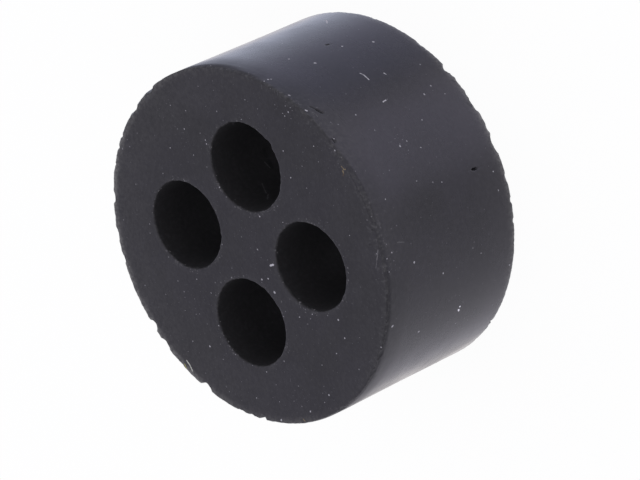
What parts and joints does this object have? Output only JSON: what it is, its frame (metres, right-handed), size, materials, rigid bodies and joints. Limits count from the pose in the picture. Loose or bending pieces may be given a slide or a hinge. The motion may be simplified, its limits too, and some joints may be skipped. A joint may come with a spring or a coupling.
{
  "type": "cable gland sealing insert",
  "caption": "Short cylindrical rubber sealing insert with parallel through holes that seal several round cables in one gland.",
  "frame": {"origin": "centre of the back end face, which the insert stands on", "axes": "+Z along the insert's axis and its cable holes, from the back face to the front face; +X through the centre of one cable hole"},
  "size_m": [0.028, 0.028, 0.0143],
  "materials": {
    "rubber": "matte black rubber, end faces cut and slightly grained, outside wall smoother with a satin sheen"
  },
  "bodies": {
    "root": {"sealing_insert": "rubber"}
  },
  "joints": []
}
